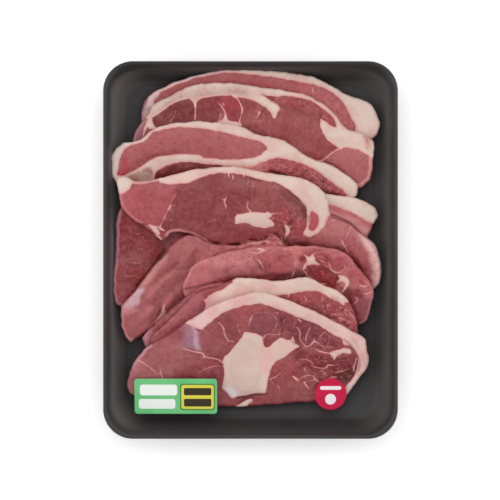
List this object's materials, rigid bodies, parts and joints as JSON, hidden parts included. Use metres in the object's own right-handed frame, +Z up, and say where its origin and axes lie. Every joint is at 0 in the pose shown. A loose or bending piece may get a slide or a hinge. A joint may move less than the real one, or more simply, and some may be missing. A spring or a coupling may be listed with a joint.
{
  "type": "meat tray pack",
  "caption": "Dark rectangular foam tray of raw, bone-in leg chops laid in an overlapping row, with white fat rims, a round leg bone and two plain stickers.",
  "frame": {"origin": "centre of the bounding box in plan, on the surface that the tray stands on", "axes": "+Z up, +Y along the tray's long side towards its back, away from the front chop with the stickers, +X to the right seen from above"},
  "size_m": [0.238, 0.305, 0.0436],
  "materials": {
    "foam": "near-black expanded foam, satin skin with a fine cell texture",
    "lean_meat": "moist raw lean meat, dusky pink-red with fine grain and a soft wet sheen",
    "fat": "firm raw fat, creamy pink-white, slightly waxy",
    "bone": "sawn bone and gristle, cream with a pink edge",
    "marrow": "pale tan marrow, smooth and waxy",
    "green_sticker": "glossy printed film sticker, green with a yellow field and plain bars",
    "red_sticker": "glossy printed film sticker, crimson with plain white shapes"
  },
  "bodies": {
    "root": {"tray": "foam", "chop_01_lean": "lean_meat", "chop_02_lean": "lean_meat", "chop_03_lean": "lean_meat", "chop_03_lean_upper": "lean_meat", "chop_04_lean": "lean_meat", "chop_05_lean": "lean_meat", "chop_06_lean": "lean_meat", "chop_07_lean": "lean_meat", "chop_08_lean": "lean_meat", "chop_09_lean": "lean_meat", "chop_10_lean": "lean_meat", "chop_01_fat": "fat", "chop_02_fat": "fat", "chop_03_fat": "fat", "chop_04_fat": "fat", "chop_05_fat": "fat", "chop_05_fat_left": "fat", "chop_05_fat_low": "fat", "chop_09_fat": "fat", "chop_10_fat": "fat", "chop_05_bone": "bone", "chop_10_bone": "bone", "chop_10_marrow": "marrow", "label_panel": "green_sticker", "label_round": "red_sticker"}
  },
  "joints": []
}
